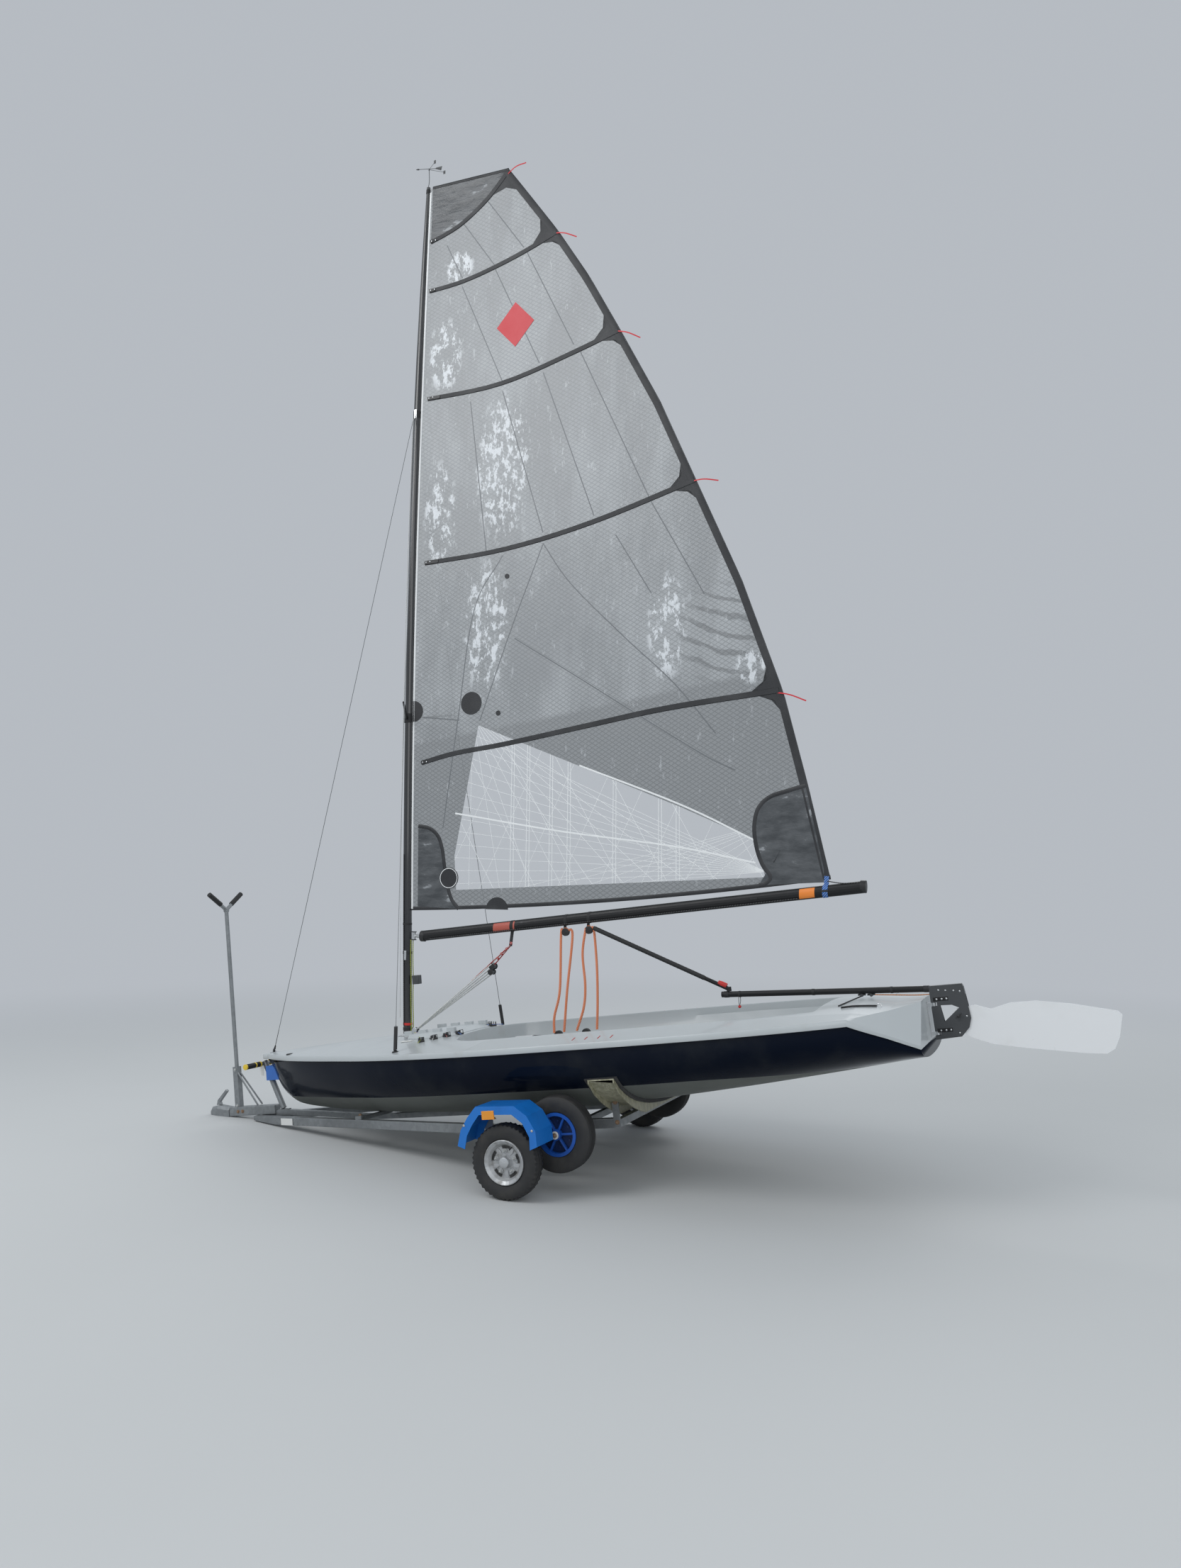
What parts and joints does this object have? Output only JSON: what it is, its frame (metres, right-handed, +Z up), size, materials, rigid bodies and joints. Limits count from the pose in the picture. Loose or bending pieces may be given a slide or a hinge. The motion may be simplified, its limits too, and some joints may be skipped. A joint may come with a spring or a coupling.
{
  "type": "sailing dinghy",
  "caption": "Single-handed sailing dinghy, rigged with a batten sail, boom and lifting rudder, on a launching trolley and road base.",
  "frame": {"origin": "middle of the object's box in plan, on the ground", "axes": "+X aft, from the coupling towards the rudder; +Y to starboard; +Z up"},
  "size_m": [5.7654, 2.0326, 6.359],
  "materials": {
    "navy_gelcoat": "glossy gelcoat, near-black navy",
    "grey_gelcoat": "satin gelcoat, pale bluish grey",
    "carbon_black": "satin carbon fibre laminate",
    "sail_film": "silvery scrim film",
    "stainless": "polished stainless steel",
    "black_anodised": "black anodised",
    "blade_white": "white gelcoat",
    "galvanised": "hot-dip galvanised steel",
    "tyre_rubber": "worn black rubber",
    "rim_silver": "silver painted steel",
    "hub_blue": "moulded blue plastic",
    "guard_blue": "moulded bright blue plastic",
    "cradle_resin": "raw glass fibre laminate, pale olive yellow",
    "carpet_black": "black carpet",
    "snubber_blue": "blue rubber",
    "grip_black": "black rubber"
  },
  "bodies": {
    "boat_on_trailer": {"hull": "navy_gelcoat", "deck": "grey_gelcoat", "centreboard_case": "grey_gelcoat", "centreboard": "blade_white", "cleat_fairing": "grey_gelcoat", "mast_step": "black_anodised", "mast": "carbon_black", "spreaders": "black_anodised", "forestay": "stainless", "shroud_port": "black_anodised", "shroud_starboard": "black_anodised", "transom_gudgeons": "stainless", "base_rail_port": "galvanised", "base_rail_starboard": "galvanised", "base_beam": "galvanised", "swing_arm_port": "galvanised", "swing_arm_starboard": "galvanised", "mudguard_port": "guard_blue", "mudguard_starboard": "guard_blue", "drawbar": "galvanised", "coupling_head": "galvanised", "coupling_lever": "galvanised", "mast_support": "galvanised", "trolley_spine": "galvanised", "trolley_axle": "galvanised", "trolley_rail_port": "galvanised", "trolley_rail_starboard": "galvanised", "rear_crossbeam": "galvanised", "bow_post": "galvanised", "bow_snubber": "snubber_blue", "cradle_shell": "cradle_resin", "cradle_pad": "carpet_black"},
    "boom_and_sail": {"boom": "carbon_black", "gooseneck": "stainless", "sail": "sail_film"},
    "rudder": {"rudder_head": "black_anodised", "tiller": "carbon_black"},
    "blade": {"rudder_blade": "blade_white"},
    "extension": {"tiller_extension": "carbon_black"},
    "road_wheel_port": {"road_rim_port": "rim_silver", "road_tyre_port": "tyre_rubber"},
    "road_wheel_starboard": {"road_rim_starboard": "rim_silver", "road_tyre_starboard": "tyre_rubber"},
    "trolley_wheel_port": {"trolley_hub_port": "hub_blue", "trolley_tyre_port": "tyre_rubber"},
    "trolley_wheel_starboard": {"trolley_hub_starboard": "hub_blue", "trolley_tyre_starboard": "tyre_rubber"}
  },
  "joints": [
    {"name": "boom_swing", "type": "hinge", "parent": "boat_on_trailer", "child": "boom_and_sail", "pos_m": [-1.2377, 0, 1.2739], "axis": [0.0097, 0, 1], "range_deg": [-50, 50]},
    {"name": "rudder_turn", "type": "hinge", "parent": "boat_on_trailer", "child": "rudder", "pos_m": [1.9928, 0, 0.9949], "axis": [-0.127, 0, 0.9919], "range_deg": [-45, 45]},
    {"name": "blade_lower", "type": "hinge", "parent": "rudder", "child": "blade", "pos_m": [2.1184, 0, 0.9429], "axis": [0, 1, 0], "range_deg": [0, 78]},
    {"name": "extension_swing", "type": "hinge", "parent": "rudder", "child": "extension", "pos_m": [0.8778, 0, 1.026], "axis": [-0.127, 0, 0.9919], "range_deg": [-100, 100]},
    {"name": "road_wheel_port_spin", "type": "hinge", "parent": "boat_on_trailer", "child": "road_wheel_port", "pos_m": [-0.0256, -0.934, 0.192], "axis": [0, 1, 0], "continuous": true},
    {"name": "road_wheel_starboard_spin", "type": "hinge", "parent": "boat_on_trailer", "child": "road_wheel_starboard", "pos_m": [-0.0256, 0.934, 0.192], "axis": [0, 1, 0], "continuous": true},
    {"name": "trolley_wheel_port_spin", "type": "hinge", "parent": "boat_on_trailer", "child": "trolley_wheel_port", "pos_m": [0.1788, -0.745, 0.3119], "axis": [0, 1, 0], "continuous": true},
    {"name": "trolley_wheel_starboard_spin", "type": "hinge", "parent": "boat_on_trailer", "child": "trolley_wheel_starboard", "pos_m": [0.1788, 0.745, 0.3119], "axis": [0, 1, 0], "continuous": true}
  ]
}
